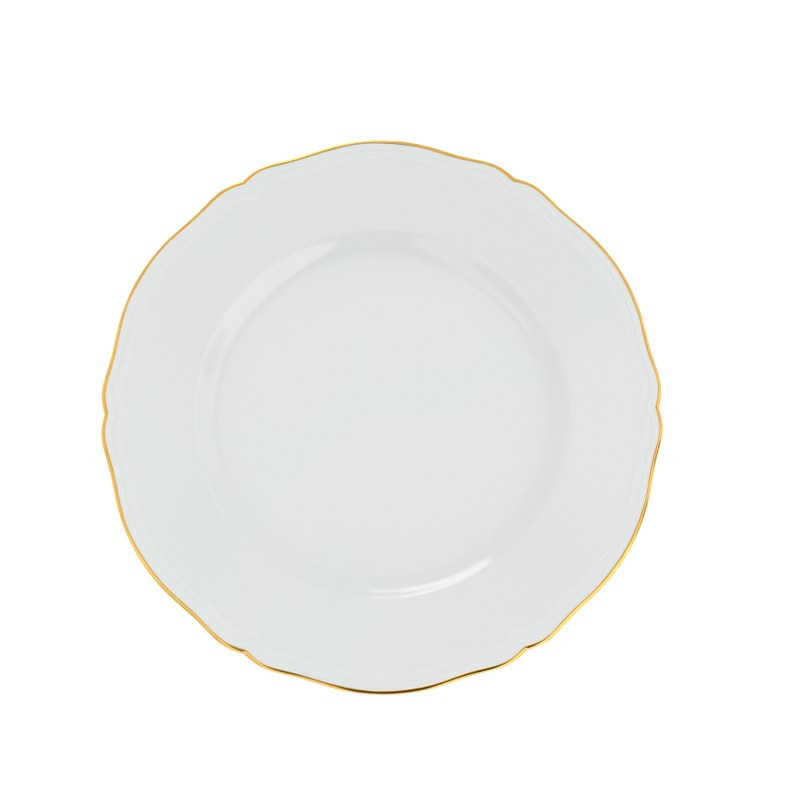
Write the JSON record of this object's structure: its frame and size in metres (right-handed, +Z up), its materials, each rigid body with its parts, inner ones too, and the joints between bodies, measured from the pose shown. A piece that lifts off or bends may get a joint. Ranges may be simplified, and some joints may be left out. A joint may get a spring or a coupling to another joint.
{
  "type": "dinner plate",
  "caption": "Round porcelain dinner plate with a scalloped, gilded edge, moulded lines on a broad rim, a flat well and a foot ring; holds a served meal on a table.",
  "frame": {"origin": "centre of the foot ring's resting plane", "axes": "+Z up along the plate's axis, out of the well; +X through one of the six notches of the edge"},
  "size_m": [0.2634, 0.2652, 0.0204],
  "materials": {
    "porcelain": "fired and unglazed, matt and very slightly grainy; bare only on the foot ring's tread",
    "glaze": "clear glossy glaze over white porcelain, slightly cool",
    "gilding": null
  },
  "bodies": {
    "root": {"porcelain_body": "porcelain", "glaze_coat": "glaze", "foot_recess_glaze": "glaze", "gold_rim_band": "gilding"}
  },
  "joints": []
}
